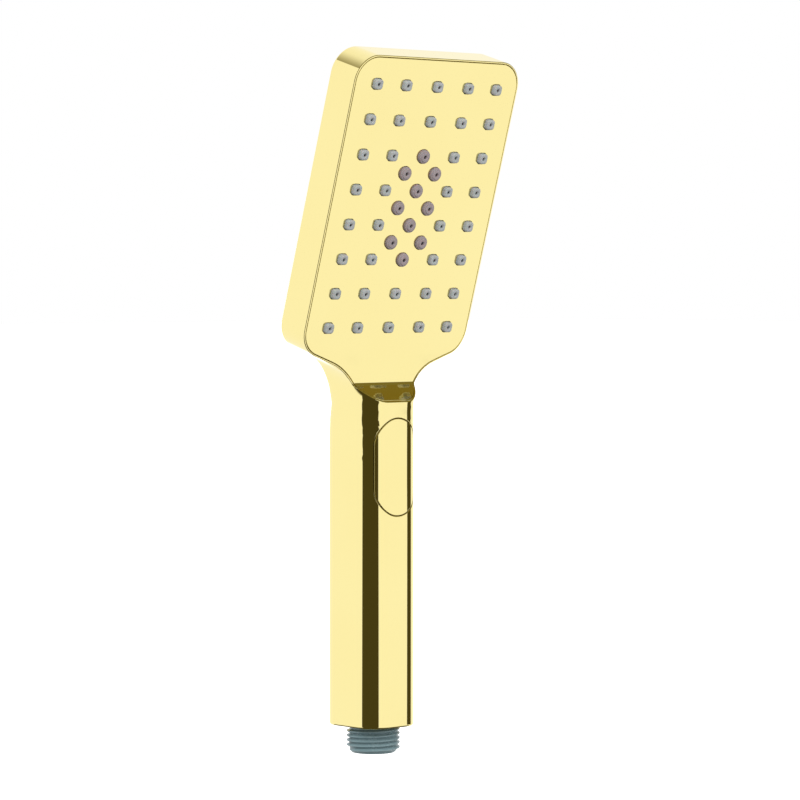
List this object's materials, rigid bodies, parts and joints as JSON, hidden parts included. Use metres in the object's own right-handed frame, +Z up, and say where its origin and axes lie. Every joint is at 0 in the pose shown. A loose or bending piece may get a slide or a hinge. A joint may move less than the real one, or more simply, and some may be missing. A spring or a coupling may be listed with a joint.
{
  "type": "handheld shower head",
  "caption": "Flat rectangular handheld shower head on a square-section handle, with soft nozzles, a flush thumb button that steps the spray and a threaded hose inlet.",
  "frame": {"origin": "on the hose thread's axis, at the thread's lower end", "axes": "+Z up the handle along the thread's axis, -Y the way the spray face looks, +X to the right seen from the front"},
  "size_m": [0.0856, 0.0561, 0.2728],
  "materials": {
    "plated_gold_shell": "polished gold plating on ABS",
    "plated_gold_face": "polished gold plating on ABS",
    "plated_gold_button": "polished gold plating on ABS",
    "plated_gold_cap": "polished gold plating on ABS",
    "inlet_plastic": "grey moulded plastic, satin",
    "screen_steel": "punched steel",
    "regulator_plastic": "blue moulded plastic",
    "seal_rubber": "black rubber",
    "gasket_rubber": "dark grey rubber",
    "valve_plastic": "white moulded plastic",
    "spring_steel": "drawn spring wire",
    "water_plastic": "natural moulded plastic",
    "cover_plastic": "dark grey moulded plastic",
    "rotor_plastic": "acetal, satin",
    "screw_steel": "stainless",
    "nozzle_silicone": "grey-green silicone",
    "massage_silicone": "mauve-grey silicone"
  },
  "bodies": {
    "shower_head": {"body_shell": "plated_gold_shell", "face_plate": "plated_gold_face", "end_cap": "plated_gold_cap", "inlet_connector": "inlet_plastic", "inlet_screen": "screen_steel", "flow_regulator": "regulator_plastic", "regulator_ring": "seal_rubber", "check_valve_cage": "valve_plastic", "check_valve_spring": "spring_steel", "waterway_tube": "water_plastic", "tube_seals": "seal_rubber", "diverter_housing": "water_plastic", "diverter_cover": "cover_plastic", "cover_seal_ring": "seal_rubber", "cover_screws": "screw_steel", "port_seals": "seal_rubber", "button_spring": "spring_steel", "rain_duct": "water_plastic", "massage_duct": "water_plastic", "duct_seals": "seal_rubber", "manifold_body": "water_plastic", "chamber_gasket": "gasket_rubber", "nozzle_plate": "cover_plastic", "manifold_screws": "screw_steel", "rain_nozzle_mat": "nozzle_silicone", "massage_nozzle_insert": "massage_silicone"},
    "button": {"button_cap": "plated_gold_button", "button_pusher": "rotor_plastic", "stem_seal_ring": "seal_rubber"},
    "rotor": {"diverter_rotor": "rotor_plastic"},
    "valve_poppet": {"check_valve_poppet": "valve_plastic", "check_valve_seal": "seal_rubber"}
  },
  "joints": [
    {"name": "button_press", "type": "slide", "parent": "shower_head", "child": "button", "axis": [0, 1, 0], "range_m": [0, 0.0025], "stiffness_N_per_m": 900, "springref_m": -0.001, "deforming": ["button_spring"]},
    {"name": "diverter_step", "type": "hinge", "parent": "shower_head", "child": "rotor", "pos_m": [0, 0.005, 0.1121], "axis": [0, 1, 0], "range_deg": [0, 60]},
    {"name": "check_valve_lift", "type": "slide", "parent": "shower_head", "child": "valve_poppet", "axis": [0, 0, 1], "range_m": [0, 0.0024], "stiffness_N_per_m": 60, "springref_m": -0.002, "deforming": ["check_valve_spring"]}
  ],
  "couplings": [
    {"joint": "diverter_step", "follows": "button_press", "rad_per_m": 418.88}
  ]
}
